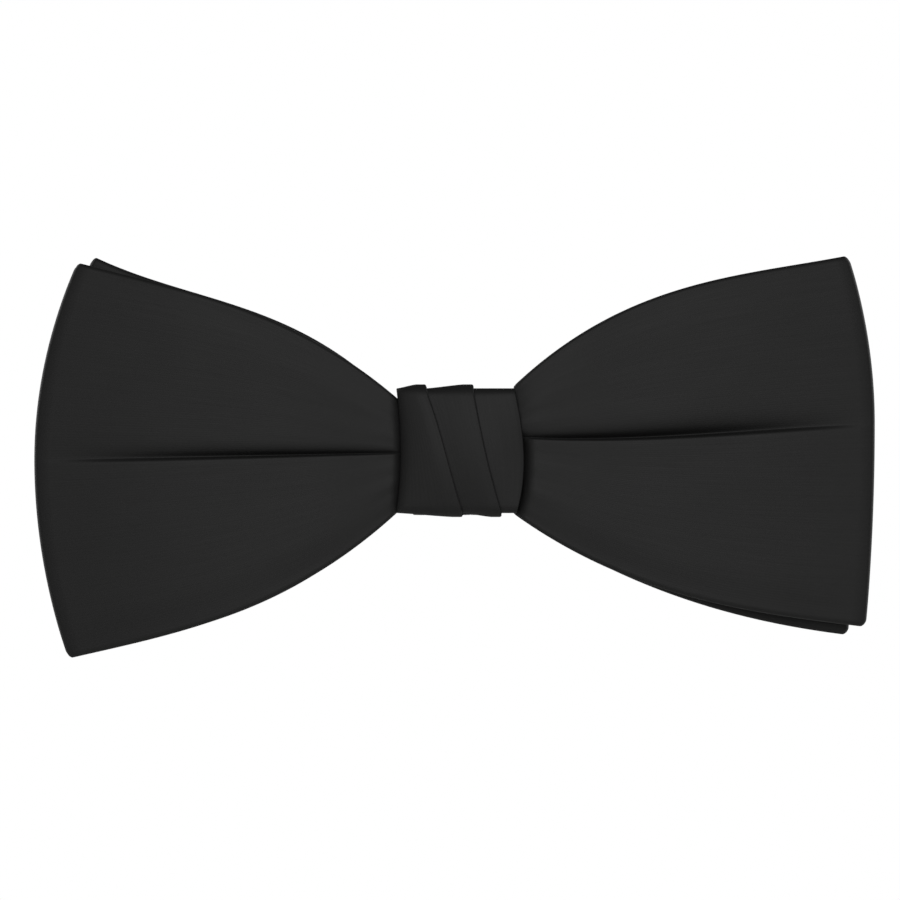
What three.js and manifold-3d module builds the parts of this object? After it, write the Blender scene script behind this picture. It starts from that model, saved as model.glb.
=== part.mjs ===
// A pre-tied bow tie on a double-ended spring clip, in millimetres.
// +X runs to the viewer's right, +Z is up and the front faces -Y.
// The origin is the centre of the flat back of the knot, where it meets the shirt collar.
// "Depth" is the distance forward from that back face, so y = -depth.
import * as THREE from "three";
import { mergeVertices } from "three/addons/utils/BufferGeometryUtils.js";
import Module from "manifold-3d";

// ---- Driving sizes ----
const BOW_WIDTH = 120; // outer fold to outer fold of the front tier
const BOW_HEIGHT = 55.6; // mean height of the front tier at its corners
const KNOT_WIDTH = 17.7;
const KNOT_HEIGHT = 18.9;
const CLIP_LENGTH = 70; // jaw end to jaw end
const CLIP_HEIGHT = 8;

// ---- Fabric ----
const SATIN = 0.35; // wall of a sewn sleeve
const INTERLINING = 0.4;
const WRAP = 0.9; // the knot's band, folded double
const THREAD = 0.5; // diameter of the tacking thread
const GAP = 0.3; // between pieces that touch
const PANEL = 2 * SATIN + 2 * GAP + INTERLINING; // one thickness of lined sleeve

// ---- How the bow is dressed: each wing a little different, as a hand leaves it ----
const WINGS = {
  // extra reach and height in mm, how far each corner draws back, and where the crease ends
  left: { side: -1, reach: 0.4, up: -0.5, down: 1.5, backUp: 5.2, backDown: 4.4, crease: -1.2 },
  right: { side: 1, reach: -0.4, up: 0, down: -1.6, backUp: 4, backDown: 2, crease: 3.4 },
};
const FLARE = 0.57; // how fast the wing opens beside the knot: less is faster
const LOBE_DEPTH = 4.2; // how far the two lobes of a wing stand out beside the crease
const LOBE_PEAK = 7; // from the knot's side to where they stand out most
const LOBE_AT_TIP = 0.3; // share of that depth left at the outer fold
const LOBE_AT_BACK = 0.3; // share of it on the rearmost panel
const CREASE_SHARPNESS = 0.75;
const FOLD_SPACE = 0.6; // inside the outer fold of a tier
const TIER_STEP = 2.6; // the rear tier's folds stop this far inside the front tier's
const TIER_RISE = 0.5; // and its edges stand this far above and below them
const TIER_SPACE = 0.7; // between the tiers out on the wings
const FRONT_PUFF = 2.6; // how far the two panels of the front loop spread at mid wing
const REAR_PUFF = 1;

// ---- Knot ----
const KNOT_CORNER = 2.6; // outer corner radius of the band, seen from the side
const CROWN = 2; // how far the front of the knot swells
const PLEAT = 0.5; // rise of each of the two slanting pleats
const PLEATS = [
  { top: -4.9, bottom: 0.9 },
  { top: 2, bottom: 6.2 },
]; // x of each pleat at the knot's top and bottom edge
const PAD_MARGIN = 3; // from the knot's edges to the edges of its pad
const WINDINGS = 2.5; // turns of thread round each gathered waist
const WINDING_PITCH = 1.5;

// ---- Clip ----
const SHEET = 0.7; // stamped steel
const CLIP_WAIST = 6; // height where it passes through the knot
const CLIP_CORNER = 1.6;
const HINGE_X = 23; // from the middle to each hinge
const HINGE_LIFT = 2.2; // from the base plate's rear face to the hinge axis
const PIN_RADIUS = 0.6;
const PIN_CLEARANCE = 0.06;
const PIN_HEAD = 0.95; // radius of the riveted end
const PIN_HEAD_LENGTH = 0.5;
const EAR = 0.6; // thickness of the ears, base and lever alike
const EAR_RADIUS = 1.75;
const WIRE_RADIUS = 0.25;
const COIL_PITCH = 0.62;
const COIL_TURNS = 4;
const LEG_LENGTH = 7.5; // spring legs, from the hinge towards the middle
const TAIL_LENGTH = 11.5; // hinge to the end of the finger tail
const TAIL_RISE = 1.6; // of the tail's end over its root
const JAW_DROP = 1; // length of the turned-in toothed lip
const TEETH = 4;
const TOOTH_DEPTH = 0.55;
const SEWING_HOLE = 0.55; // radius
const SEWING_X = 13;
const SEWING_SPACING = 2.4;

// ---- Stack of layers through the waist, from the back of the knot forwards ----
function stack(layers) {
  const placed = {};
  let depth = 0;
  for (const [name, thickness] of layers) {
    placed[name] = { from: depth, to: depth + thickness, mid: depth + thickness / 2 };
    depth += thickness + GAP;
  }
  return placed;
}
const LAYER = stack([
  ["wrapBack", WRAP],
  ["liningBack", INTERLINING],
  ["clip", SHEET],
  ["rearThreadBack", THREAD],
  ["rearBack", PANEL],
  ["rearFront", PANEL],
  ["rearThreadFront", THREAD],
  ["frontThreadBack", THREAD],
  ["frontBack", PANEL],
  ["frontFront", PANEL],
  ["frontThreadFront", THREAD],
  ["liningFront", INTERLINING],
  ["wrapFront", WRAP],
]);
const KNOT_HALF = KNOT_HEIGHT / 2;
const LINING_HALF = KNOT_HALF - WRAP - GAP;
const THREAD_HALF = LINING_HALF - INTERLINING - GAP - THREAD / 2;
const WAIST_HALF = THREAD_HALF - THREAD / 2 - GAP; // of the gathered fabric
const WAIST_END = KNOT_WIDTH / 2 + GAP; // x where the wings start to open

// ---- Small helpers ----
const wasm = await Module();
wasm.setup();
const clamp01 = (t) => Math.min(1, Math.max(0, t));
const smooth = (t) => clamp01(t) ** 2 * (3 - 2 * clamp01(t));
const mix = (a, b, t) => a + (b - a) * t;
const steps = (n) => Array.from({ length: n + 1 }, (_, i) => i / n);

// A closed solid from points and faces, wound so that its faces point out.
function solid(points, triangles) {
  const at = (i) => points[i];
  const volume = triangles.reduce((sum, [a, b, c]) => sum + at(a).dot(at(b).clone().cross(at(c))), 0);
  const geometry = new THREE.BufferGeometry().setFromPoints(points);
  geometry.setIndex(triangles.flatMap(([a, b, c]) => (volume < 0 ? [a, c, b] : [a, b, c])));
  geometry.computeVertexNormals();
  return geometry;
}

// Skins rings of equally many points. An open run is capped, and `hollow` gives it inner rings.
function loft(rings, { closed = false, hollow = null } = {}) {
  const n = rings[0].length;
  const points = [...rings.flat(), ...(hollow ? hollow.flat() : [])];
  const inner = rings.length * n;
  const triangles = [];
  const quad = (a, b, c, d) => triangles.push([a, b, c], [a, c, d]);
  for (let i = 0; i < (closed ? rings.length : rings.length - 1); i++) {
    const here = i * n;
    const next = ((i + 1) % rings.length) * n;
    for (let k = 0; k < n; k++) {
      const up = (k + 1) % n;
      quad(here + k, here + up, next + up, next + k);
      if (hollow) quad(inner + here + k, inner + next + k, inner + next + up, inner + here + up);
    }
  }
  if (closed) return solid(points, triangles);
  const last = (rings.length - 1) * n;
  if (hollow)
    for (let k = 0; k < n; k++) {
      const up = (k + 1) % n;
      quad(k, inner + k, inner + up, up);
      quad(last + k, last + up, inner + last + up, inner + last + k);
    }
  else
    for (let k = 0; k < n / 2 - 1; k++) {
      quad(k, n - 1 - k, n - 2 - k, k + 1);
      quad(last + k, last + k + 1, last + n - 2 - k, last + n - 1 - k);
    }
  return solid(points, triangles);
}

// A round cord through points. `flat` is a direction that the cord never runs along.
function cord(points, radius, sides, flat) {
  const rings = points.map((p, i) => {
    const before = points[Math.max(i - 1, 0)];
    const after = points[Math.min(i + 1, points.length - 1)];
    const along = after.clone().sub(before).normalize();
    const across = flat.clone().cross(along).normalize();
    const up = along.clone().cross(across);
    return Array.from({ length: sides }, (_, k) => {
      const a = (2 * Math.PI * (k + 0.5)) / sides;
      return p
        .clone()
        .addScaledVector(across, radius * Math.cos(a))
        .addScaledVector(up, radius * Math.sin(a));
    });
  });
  return loft(rings);
}

function manifold(geometry) {
  const bare = new THREE.BufferGeometry().setAttribute("position", geometry.getAttribute("position"));
  if (geometry.index) bare.setIndex(geometry.index);
  const merged = mergeVertices(bare, 1e-4);
  return new wasm.Manifold(
    new wasm.Mesh({
      numProp: 3,
      vertProperties: merged.attributes.position.array,
      triVerts: new Uint32Array(merged.index.array),
    }),
  );
}

function geometryOf(shape) {
  const { vertProperties, triVerts } = shape.getMesh();
  const geometry = new THREE.BufferGeometry();
  geometry.setAttribute("position", new THREE.BufferAttribute(vertProperties, 3));
  geometry.setIndex(new THREE.BufferAttribute(triVerts, 1));
  geometry.computeVertexNormals();
  return geometry;
}

// ---- The dressed wing: how flat sleeve maps to shape ----
// r runs out from the middle, v from -1 at the lower edge to 1 at the upper edge.
const wingAt = (x) => (x < 0 ? WINGS.left : WINGS.right);
const reachOf = (wing) => BOW_WIDTH / 2 + wing.reach;
const outAlong = (r) => clamp01((Math.abs(r) - WAIST_END) / (reachOf(wingAt(r)) - WAIST_END));

function halfHeight(r, up, rise = 0) {
  const wing = wingAt(r);
  const u = outAlong(r);
  const tip = BOW_HEIGHT / 2 + (up ? wing.up : wing.down) + rise;
  return mix(WAIST_HALF, tip, u ** FLARE);
}

// How far the lobes push a point forwards, from its place in the front view and its depth.
function lobe(x, z, depth) {
  const wing = wingAt(x);
  const u = outAlong(x);
  const crease = wing.crease * u;
  const above = z > crease;
  const span = above ? halfHeight(x, true) - crease : halfHeight(x, false) + crease;
  const q = clamp01(Math.abs(z - crease) / span);
  const shape = Math.sin(Math.PI * q ** CREASE_SHARPNESS);
  const rise = smooth((Math.abs(x) - WAIST_END) / LOBE_PEAK);
  const layer = (depth - LAYER.rearBack.from) / (LAYER.frontFront.to - LAYER.rearBack.from);
  return LOBE_DEPTH * rise * mix(1, LOBE_AT_TIP, u) * shape * mix(LOBE_AT_BACK, 1, clamp01(layer));
}

function dressed(r, depth, v, inset, rise) {
  const wing = wingAt(r);
  const back = (v > 0 ? wing.backUp : wing.backDown) * v * v * outAlong(r) ** 2;
  const x = r - wing.side * back;
  const z = v * (halfHeight(r, v > 0, rise * outAlong(r)) - inset);
  return new THREE.Vector3(x, -(depth + lobe(x, z, depth)), z);
}

// ---- Tiers: a lined sleeve bent into a flat ring, its ends meeting behind the middle ----
const ALONG = 6; // stations on each panel of a wing
const ROUND = 4; // stations round each outer fold
const ACROSS = 8; // panels from edge to edge

function spread(r, puff) {
  const u = outAlong(r);
  return mix(PANEL + GAP, PANEL + FOLD_SPACE, u) + puff * Math.sin(Math.PI * u);
}
function tierSpace(r) {
  const waist = LAYER.frontBack.mid - LAYER.rearFront.mid;
  return mix(waist, PANEL + TIER_SPACE, smooth(outAlong(r) * 4));
}
const rearFront = (r) => LAYER.rearBack.mid + spread(r, REAR_PUFF);
const frontBack = (r) => rearFront(r) + tierSpace(r);
const TIERS = {
  rear: { shorter: TIER_STEP, rise: TIER_RISE, back: () => LAYER.rearBack.mid, front: rearFront },
  front: { shorter: 0, rise: 0, back: frontBack, front: (r) => frontBack(r) + spread(r, FRONT_PUFF) },
};

// Stations of a tier's middle line: place (r, depth) and outward normal, from end to end.
function tierLine(tier) {
  const wingHalf = (wing) => {
    const end = reachOf(wing) - tier.shorter - PANEL / 2;
    const back = tier.back(wing.side * end);
    const fold = (tier.front(wing.side * end) - back) / 2;
    const root = end - fold;
    const opening = steps(ALONG).map((t) => mix(WAIST_END, root, t ** 1.7));
    const panel = (depthAt, nd) =>
      [GAP / 2, ...opening].map((r) => ({ r: wing.side * r, depth: depthAt(wing.side * r), nr: 0, nd }));
    const round = steps(ROUND).slice(1, -1).map((t) => {
      const a = Math.PI * (t - 0.5);
      return {
        r: wing.side * (root + fold * Math.cos(a)),
        depth: back + fold + fold * Math.sin(a),
        nr: wing.side * Math.cos(a),
        nd: Math.sin(a),
      };
    });
    return [...panel(tier.back, -1), ...round, ...panel(tier.front, 1).reverse()];
  };
  const right = wingHalf(WINGS.right);
  const left = wingHalf(WINGS.left).reverse();
  return [...right, ...left];
}

// One ring of a sleeve's section: the outward face from edge to edge, and back along the other.
function sleeveRing(station, half, inset, rise) {
  const face = (offset) =>
    steps(ACROSS).map((t) => {
      const v = 2 * t - 1;
      return dressed(station.r + offset * station.nr, station.depth + offset * station.nd, v, inset, rise);
    });
  return [...face(half), ...face(-half).reverse()];
}

function satinSleeve(tier) {
  const line = tierLine(tier);
  const outer = line.map((s) => sleeveRing(s, PANEL / 2, 0, tier.rise));
  const inner = line.map((s) => sleeveRing(s, PANEL / 2 - SATIN, SATIN, tier.rise));
  return loft(outer, { hollow: inner });
}

function interlining(tier) {
  const line = tierLine(tier);
  return loft(line.map((s) => sleeveRing(s, INTERLINING / 2, SATIN + GAP, tier.rise)));
}

// ---- Bands and windings that go round the waist ----
// Stations of a rounded rectangle seen from the side: depth, z and outward normal.
function roundBand(back, front, half, radius, arc, side) {
  const line = [];
  const corner = (depth, z, quarter) => {
    for (const t of steps(arc)) {
      const a = (Math.PI / 2) * (quarter + t);
      const [nd, nz] = [Math.cos(a), Math.sin(a)];
      line.push({ depth: depth + radius * nd, z: z + radius * nz, nd, nz });
    }
  };
  const straight = (depth, from, to, nd) => {
    for (const t of steps(side).slice(1, -1)) line.push({ depth, z: mix(from, to, t), nd, nz: 0 });
  };
  const z = half - radius;
  corner(front - radius, z, 0);
  corner(back + radius, z, 1);
  straight(back, z, -z, -1);
  corner(back + radius, -z, 2);
  corner(front - radius, -z, 3);
  straight(front, -z, z, 1);
  return line;
}

// The front of the knot swells, and the slanting pleats stand out on its outer face.
function crown(x, z, depth) {
  const swell = (1 - (x / (KNOT_WIDTH / 2 + 0.5)) ** 2) * (1 - clamp01(Math.abs(z) / KNOT_HALF) ** 2);
  const forward = smooth((depth - LAYER.rearFront.to) / (LAYER.wrapFront.from - LAYER.rearFront.to));
  return CROWN * swell * forward;
}
function pleatRise(x, z) {
  const t = (KNOT_HALF - z) / KNOT_HEIGHT;
  return PLEATS.reduce((sum, p) => sum + PLEAT * smooth((mix(p.top, p.bottom, t) - x) / 2.2 + 1), 0);
}

function knotWrap() {
  const middle = roundBand(WRAP / 2, LAYER.wrapFront.mid, KNOT_HALF - WRAP / 2, KNOT_CORNER - WRAP / 2, 3, 6);
  const rings = middle.map((s) => {
    const face = (offset, outer) =>
      steps(10).map((t) => {
        const x = KNOT_WIDTH * (t - 0.5);
        const z = s.z + offset * s.nz;
        const depth = s.depth + offset * s.nd;
        const pleat = outer ? pleatRise(x, z) * clamp01(s.nd) : 0;
        return new THREE.Vector3(x, -(depth + crown(x, z, depth) + pleat), z);
      });
    return [...face(WRAP / 2, true), ...face(-WRAP / 2, false).reverse()];
  });
  return loft(rings, { closed: true });
}

function knotInterlining() {
  const half = LINING_HALF - INTERLINING / 2;
  const radius = KNOT_CORNER - WRAP - GAP - INTERLINING / 2;
  const middle = roundBand(LAYER.liningBack.mid, LAYER.liningFront.mid, half, radius, 2, 2);
  const rings = middle.map((s) => {
    const face = (offset) =>
      [-1, 1].map((side) => {
        const depth = s.depth + offset * s.nd;
        return new THREE.Vector3(side * (KNOT_WIDTH / 2 - WRAP), -depth, s.z + offset * s.nz);
      });
    return [...face(INTERLINING / 2), ...face(-INTERLINING / 2).reverse()];
  });
  return loft(rings, { closed: true });
}

// A thin cushion that fills the swell between the knot's interlining and its satin.
function knotPad() {
  const rows = steps(6).map((s) => {
    const z = (KNOT_HEIGHT - 2 * PAD_MARGIN) * (s - 0.5);
    const face = (front) =>
      steps(6).map((t) => {
        const x = (KNOT_WIDTH - 2 * PAD_MARGIN) * (t - 0.5);
        const depth = LAYER.wrapFront.from;
        return new THREE.Vector3(x, -(front ? depth + crown(x, z, depth) - GAP : depth), z);
      });
    return [...face(true), ...face(false).reverse()];
  });
  return loft(rows);
}

// Tacking thread, wound round a gathered waist between two layers of the stack.
function tackingThread(back, front) {
  const loop = roundBand(back.mid, front.mid, THREAD_HALF, GAP + THREAD / 2, 2, 1);
  const count = Math.round(loop.length * WINDINGS);
  const points = Array.from({ length: count }, (_, i) => {
    const s = loop[i % loop.length];
    return new THREE.Vector3(WINDING_PITCH * (i / loop.length - WINDINGS / 2), -s.depth, s.z);
  });
  return cord(points, THREAD / 2, 6, new THREE.Vector3(1, 0, 0));
}

// The hand stitches that close the knot's band, zigzagging across its seam underneath.
function closingStitch() {
  const count = 9;
  const z = -KNOT_HALF - GAP - THREAD / 2;
  const points = steps(count).map((t, i) => {
    const depth = LAYER.rearBack.from + (i % 2 ? 1.2 : -1.2);
    return new THREE.Vector3((KNOT_WIDTH - 5) * (t - 0.5), -depth, z);
  });
  return cord(points, THREAD / 2, 6, new THREE.Vector3(0, 0, 1));
}

// ---- Clip ----
const BASE_REAR = -LAYER.clip.from; // y of the base plate's rear face
const BASE_FRONT = -LAYER.clip.to;
const HINGE_Y = BASE_REAR + HINGE_LIFT;
const HOLE = (PIN_RADIUS + PIN_CLEARANCE) / Math.cos(Math.PI / 16);
const LEVER_HALF = CLIP_HEIGHT / 2 - EAR - GAP; // z of the lever's outer edges
const COIL_RADIUS = PIN_RADIUS + GAP + WIRE_RADIUS;
const ROOF = HINGE_Y + COIL_RADIUS + WIRE_RADIUS + GAP; // underside of the lever over its hinge

// A plate of some thickness in z, from its outline in x and y.
function sidePlate(shape, z, thickness) {
  const plate = new THREE.ExtrudeGeometry(shape, { depth: thickness, bevelEnabled: false, curveSegments: 8 });
  return manifold(plate.translate(0, 0, z));
}

function pinHole() {
  const hole = new THREE.CylinderGeometry(HOLE, HOLE, 2 * CLIP_HEIGHT, 16);
  return manifold(hole.rotateX(Math.PI / 2).translate(HINGE_X, HINGE_Y, 0));
}

// An ear: a round end about the hinge on a foot that runs up or down to y.
function earOutline(y) {
  const shape = new THREE.Shape();
  const up = Math.sign(y - HINGE_Y);
  shape.moveTo(HINGE_X - EAR_RADIUS, y);
  shape.lineTo(HINGE_X - EAR_RADIUS, HINGE_Y);
  shape.absarc(HINGE_X, HINGE_Y, EAR_RADIUS, Math.PI, 0, up < 0);
  shape.lineTo(HINGE_X + EAR_RADIUS, y);
  return shape;
}

function baseOutline() {
  const end = CLIP_LENGTH / 2;
  const half = CLIP_HEIGHT / 2;
  const waist = CLIP_WAIST / 2;
  const step = half - waist;
  const neck = KNOT_WIDTH / 2 + GAP;
  const shape = new THREE.Shape();
  shape.moveTo(-neck, -waist);
  shape.lineTo(neck, -waist);
  shape.lineTo(neck + step, -half);
  shape.lineTo(end - CLIP_CORNER, -half);
  shape.absarc(end - CLIP_CORNER, CLIP_CORNER - half, CLIP_CORNER, -Math.PI / 2, 0);
  shape.absarc(end - CLIP_CORNER, half - CLIP_CORNER, CLIP_CORNER, 0, Math.PI / 2);
  shape.lineTo(neck + step, half);
  shape.lineTo(neck, waist);
  shape.lineTo(-neck, waist);
  shape.lineTo(-neck - step, half);
  shape.lineTo(CLIP_CORNER - end, half);
  shape.absarc(CLIP_CORNER - end, half - CLIP_CORNER, CLIP_CORNER, Math.PI / 2, Math.PI);
  shape.absarc(CLIP_CORNER - end, CLIP_CORNER - half, CLIP_CORNER, Math.PI, 1.5 * Math.PI);
  shape.lineTo(-neck - step, -half);
  for (const side of [-1, 1])
    for (const row of [-1, 1]) {
      const hole = new THREE.Path();
      hole.absarc(side * SEWING_X, (row * SEWING_SPACING) / 2, SEWING_HOLE, 0, 2 * Math.PI);
      shape.holes.push(hole);
    }
  return shape;
}

function clipBase() {
  const settings = { depth: SHEET, bevelEnabled: false, curveSegments: 6 };
  const plate = new THREE.ExtrudeGeometry(baseOutline(), settings);
  let base = manifold(plate.rotateX(Math.PI / 2).translate(0, BASE_REAR, 0));
  for (const z of [-CLIP_HEIGHT / 2, CLIP_HEIGHT / 2 - EAR]) {
    const ear = sidePlate(earOutline(BASE_FRONT), z, EAR).subtract(pinHole());
    base = base.add(ear).add(ear.mirror([1, 0, 0]));
  }
  return geometryOf(base);
}

// A bent strip from the points of its underside, thickened upwards with mitred bends.
function bentStrip(under, thickness) {
  const normal = (a, b) => new THREE.Vector2(a.y - b.y, b.x - a.x).normalize();
  const over = under.map((p, i) => {
    const before = i ? normal(under[i - 1], p) : normal(p, under[1]);
    const after = i < under.length - 1 ? normal(p, under[i + 1]) : before;
    const mitre = before.clone().add(after).normalize();
    return p.clone().addScaledVector(mitre, thickness / mitre.dot(before));
  });
  return new THREE.Shape([...under, ...over.reverse()]);
}

function lever() {
  const jaw = CLIP_LENGTH / 2;
  const lip = BASE_REAR + GAP;
  const tail = ROOF + TAIL_RISE;
  const under = [
    [HINGE_X - TAIL_LENGTH, tail],
    [HINGE_X - EAR_RADIUS, ROOF],
    [HINGE_X + EAR_RADIUS, ROOF],
    [jaw - SHEET - 1, lip + JAW_DROP],
    [jaw - SHEET - 0.4, lip],
  ].map(([x, y]) => new THREE.Vector2(x, y));
  const roof = bentStrip(under, SHEET);
  let shape = sidePlate(roof, -LEVER_HALF, 2 * LEVER_HALF);
  for (const z of [-LEVER_HALF, LEVER_HALF - EAR]) {
    const ear = sidePlate(earOutline(ROOF + SHEET / 2), z, EAR).subtract(pinHole());
    shape = shape.add(ear);
  }
  return geometryOf(shape.subtract(teeth(jaw, lip)));
}

// The notches between the teeth of a jaw, as a zigzag bar laid across its lip.
function teeth(jaw, lip) {
  const pitch = (2 * LEVER_HALF) / TEETH;
  const bar = new THREE.Shape();
  bar.moveTo(-LEVER_HALF - 1, lip - 1);
  bar.lineTo(-LEVER_HALF - 1, lip);
  for (let i = 0; i < TEETH; i++) {
    const start = -LEVER_HALF + i * pitch;
    bar.lineTo(start, lip + TOOTH_DEPTH);
    bar.lineTo(start + pitch / 2, lip);
  }
  bar.lineTo(LEVER_HALF, lip + TOOTH_DEPTH);
  bar.lineTo(LEVER_HALF + 1, lip);
  bar.lineTo(LEVER_HALF + 1, lip - 1);
  const notches = new THREE.ExtrudeGeometry(bar, { depth: 4, bevelEnabled: false });
  return manifold(notches.rotateY(Math.PI / 2).translate(jaw - 3, 0, 0));
}

function hingePin() {
  const end = CLIP_HEIGHT / 2 + GAP / 2;
  const profile = [
    [0, -end - PIN_HEAD_LENGTH],
    [PIN_HEAD, -end - PIN_HEAD_LENGTH / 2],
    [PIN_HEAD, -end],
    [PIN_RADIUS, -end],
    [PIN_RADIUS, end],
    [PIN_HEAD, end],
    [PIN_HEAD, end + PIN_HEAD_LENGTH / 2],
    [0, end + PIN_HEAD_LENGTH],
  ].map(([x, y]) => new THREE.Vector2(x, y));
  const pin = new THREE.LatheGeometry(profile, 16);
  return geometryOf(manifold(pin.rotateX(Math.PI / 2).translate(HINGE_X, HINGE_Y, 0)));
}

// A torsion spring round the hinge pin, its legs reaching under the tail and along the base.
function torsionSpring() {
  const point = (a, z) =>
    new THREE.Vector3(HINGE_X + COIL_RADIUS * Math.cos(a), HINGE_Y + COIL_RADIUS * Math.sin(a), z);
  const turn = 12;
  const count = Math.round((COIL_TURNS + 0.5) * turn);
  const height = (COIL_PITCH * count) / turn;
  const start = -Math.PI / 2; // the coil leaves the base side and ends under the lever
  const coil = steps(count).map((t) => point(start + (2 * Math.PI * count * t) / turn, height * (t - 0.5)));
  const tip = HINGE_X - LEG_LENGTH;
  const slope = TAIL_RISE / (TAIL_LENGTH - EAR_RADIUS);
  const underTail = ROOF + slope * (LEG_LENGTH - EAR_RADIUS) - GAP - WIRE_RADIUS;
  const onBase = BASE_REAR + GAP + WIRE_RADIUS;
  const points = [
    new THREE.Vector3(tip, onBase, -height / 2),
    ...coil,
    new THREE.Vector3(tip, underTail, height / 2),
  ];
  return cord(points, WIRE_RADIUS, 6, new THREE.Vector3(0, 0, 1));
}

// A loop of thread that tacks the clip to the bow through two sewing holes.
function clipTack() {
  const half = SEWING_SPACING / 2;
  const rear = BASE_REAR + GAP + THREAD / 2;
  const end = -LAYER.rearBack.from + GAP;
  const points = [
    [end, -half],
    [rear - THREAD / 2, -half],
    [rear, THREAD / 2 - half],
    [rear, half - THREAD / 2],
    [rear - THREAD / 2, half],
    [end, half],
  ].map(([y, z]) => new THREE.Vector3(SEWING_X, y, z));
  return cord(points, THREAD / 2 - 0.05, 6, new THREE.Vector3(1, 0, 0));
}

// ---- Materials ----
const satin = new THREE.MeshStandardMaterial({ color: 0x282828, roughness: 0.5, metalness: 0 });
const canvas = new THREE.MeshStandardMaterial({ color: 0xcfc8b8, roughness: 0.95, metalness: 0 });
const thread = new THREE.MeshStandardMaterial({ color: 0x1c1c1c, roughness: 0.7, metalness: 0 });
const nickel = new THREE.MeshStandardMaterial({ color: 0xb9b7b0, roughness: 0.3, metalness: 1 });
const springSteel = new THREE.MeshStandardMaterial({ color: 0x8f9194, roughness: 0.35, metalness: 1 });

// ---- Assembly ----
const bowTie = new THREE.Group();
function add(name, geometry, material, mirrored = false) {
  const mesh = new THREE.Mesh(geometry, material);
  mesh.name = name;
  if (mirrored) mesh.scale.x = -1;
  bowTie.add(mesh);
}

for (const name of ["rear", "front"]) {
  add(name + "_bow_satin", satinSleeve(TIERS[name]), satin);
  add(name + "_bow_interlining", interlining(TIERS[name]), canvas);
  const [back, front] = [LAYER[name + "ThreadBack"], LAYER[name + "ThreadFront"]];
  add(name + "_bow_tacking_thread", tackingThread(back, front), thread);
}
add("knot_wrap_satin", knotWrap(), satin);
add("knot_interlining", knotInterlining(), canvas);
add("knot_pad", knotPad(), canvas);
add("knot_closing_stitch", closingStitch(), thread);
add("clip_base", clipBase(), nickel);
for (const side of ["right", "left"]) {
  const mirrored = side === "left";
  add(side + "_clip_lever", lever(), nickel, mirrored);
  add(side + "_hinge_pin", hingePin(), springSteel, mirrored);
  add(side + "_torsion_spring", torsionSpring(), springSteel, mirrored);
  add(side + "_clip_tack", clipTack(), thread, mirrored);
}

export default bowTie;
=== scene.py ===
# %% [markdown]
# # A pre-tied bow tie on a spring clip
# A pre-tied bow is two lined sleeves of satin, each bent into a flat ring, gathered at the waist
# with thread and covered by a pleated band, the knot. A sprung metal clip behind holds it on a collar.
# The working model already settles sizes, places and hinges, so it is loaded first as a fixed frame.
# The metal parts keep its shapes and get finishes here. Every soft part is made again, much finer.

# %% Load the frame
import math
import bmesh
import bpy
import numpy as np
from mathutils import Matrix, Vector


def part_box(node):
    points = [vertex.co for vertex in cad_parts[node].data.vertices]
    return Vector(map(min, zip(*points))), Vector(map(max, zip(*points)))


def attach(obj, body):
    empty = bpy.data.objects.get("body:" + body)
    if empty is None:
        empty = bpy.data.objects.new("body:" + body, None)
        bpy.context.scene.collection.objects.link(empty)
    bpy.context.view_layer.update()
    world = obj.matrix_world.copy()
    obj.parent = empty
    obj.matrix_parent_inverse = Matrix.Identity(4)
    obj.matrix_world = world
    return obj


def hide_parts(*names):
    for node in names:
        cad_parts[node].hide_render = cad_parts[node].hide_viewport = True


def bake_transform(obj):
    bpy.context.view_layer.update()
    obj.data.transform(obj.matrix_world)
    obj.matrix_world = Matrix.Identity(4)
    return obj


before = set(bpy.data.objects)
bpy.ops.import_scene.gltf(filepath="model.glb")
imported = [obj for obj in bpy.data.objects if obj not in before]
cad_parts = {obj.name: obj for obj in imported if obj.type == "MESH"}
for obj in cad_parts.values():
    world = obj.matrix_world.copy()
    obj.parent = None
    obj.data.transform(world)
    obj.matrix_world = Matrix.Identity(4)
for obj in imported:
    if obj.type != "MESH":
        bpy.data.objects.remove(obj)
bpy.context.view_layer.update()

MM = 0.001  # lengths below are in millimetres, and Blender's are in metres


# %% [markdown]
# ## Sizes taken from the frame
# A piece that is made again has to lie where its plain solid lies. The solids' boxes give the sizes
# that matter: how wide and tall the knot is, how far the wings reach, and where the hinges are. They
# could be typed in again, but then a change to the working model would leave the cloth behind.

# %% Read sizes from the boxes
def box_mm(node):
    return [np.array(corner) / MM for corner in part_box(node)]


knot_low, knot_high = box_mm("knot_wrap_satin")
bow_low, bow_high = box_mm("front_bow_satin")
rear_low = box_mm("rear_bow_satin")[0]
KNOT_HALF_WIDTH = (knot_high[0] - knot_low[0]) / 2
KNOT_HALF = (knot_high[2] - knot_low[2]) / 2
OPENS_INSIDE = 0.95  # a wing starts to open this far inside the knot
WING_START = KNOT_HALF_WIDTH - OPENS_INSIDE
BOW_WIDTH = bow_high[0] - bow_low[0]
TIER_STEP = rear_low[0] - bow_low[0]  # the rear tier's folds stop this far inside the front's
print("knot", 2 * KNOT_HALF_WIDTH, "by", 2 * KNOT_HALF, "bow", BOW_WIDTH, "step", TIER_STEP)


# %% [markdown]
# ## Camera
# The bow is seen straight from the front through a long lens, from far enough that its depth of
# 2 cm hardly changes its scale. A short lens close by would make the knot look too big for the wings.

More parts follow.
